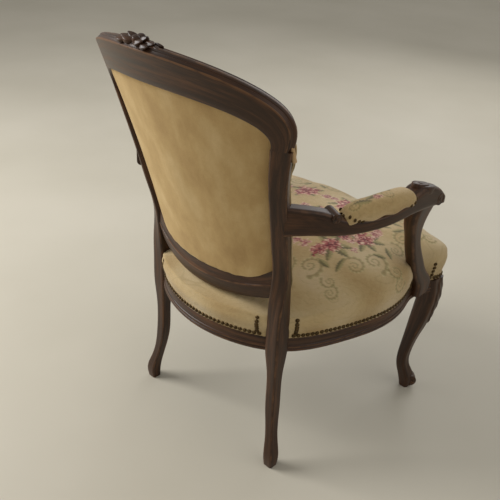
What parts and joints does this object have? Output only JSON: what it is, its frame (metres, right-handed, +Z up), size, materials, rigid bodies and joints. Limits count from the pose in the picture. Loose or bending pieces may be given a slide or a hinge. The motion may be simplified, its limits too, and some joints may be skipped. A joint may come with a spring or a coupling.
{
  "type": "fauteuil",
  "caption": "Open-arm upholstered chair with a carved walnut-stained frame, hollow curved back, padded arms and a sprung tapestry seat edged with domed nails.",
  "frame": {"origin": "centre of the chair's box, on the floor between the feet", "axes": "+Z up, +Y towards the back, +X towards the sitter's left; the sitter faces -Y"},
  "size_m": [0.6594, 0.7691, 0.956],
  "materials": {
    "walnut_stained_beech": "waxed, dark walnut stain",
    "plain_beech": "bare, unfinished",
    "steel": "dull drawn wire",
    "jute_and_hessian": "coarse plain weave",
    "hair_stuffing": "curled hair and cotton wadding",
    "tapestry": "woven floral tapestry, red and green flowers on a tan ground",
    "tan_back_cloth": "plain tan cloth with a short nap",
    "antique_brass": "darkened antique brass"
  },
  "bodies": {
    "root": {"rear_post_left": "walnut_stained_beech", "rear_post_right": "walnut_stained_beech", "front_leg_left": "walnut_stained_beech", "front_leg_right": "walnut_stained_beech", "crest_rail": "walnut_stained_beech", "back_lower_rail": "walnut_stained_beech", "rear_seat_rail": "walnut_stained_beech", "front_seat_rail": "walnut_stained_beech", "side_seat_rail_left": "walnut_stained_beech", "side_seat_rail_right": "walnut_stained_beech", "arm_left": "walnut_stained_beech", "arm_right": "walnut_stained_beech", "arm_support_left": "walnut_stained_beech", "arm_support_right": "walnut_stained_beech", "corner_blocks": "plain_beech", "frame_dowels": "plain_beech", "corner_block_screws": "steel", "arm_support_screws": "steel", "seat_springs": "steel", "seat_webbing_front_to_back": "jute_and_hessian", "seat_webbing_side_to_side": "jute_and_hessian", "dust_cover": "jute_and_hessian", "seat_hessian": "jute_and_hessian", "back_webbing": "jute_and_hessian", "back_hessian": "jute_and_hessian", "seat_stuffing": "hair_stuffing", "back_stuffing": "hair_stuffing", "arm_pad_stuffing_left": "hair_stuffing", "arm_pad_stuffing_right": "hair_stuffing", "seat_cover": "tapestry", "inside_back_cover": "tapestry", "arm_pad_cover_left": "tapestry", "arm_pad_cover_right": "tapestry", "outside_back_panel": "tan_back_cloth", "seat_nails_rear": "antique_brass", "seat_nails_left": "antique_brass", "seat_nails_right": "antique_brass", "seat_nails_front": "antique_brass", "post_nails_left": "antique_brass", "post_nails_right": "antique_brass", "support_nails_left": "antique_brass", "support_nails_right": "antique_brass", "inside_back_nails": "antique_brass", "arm_pad_nails_left": "antique_brass", "arm_pad_nails_right": "antique_brass"}
  },
  "joints": []
}
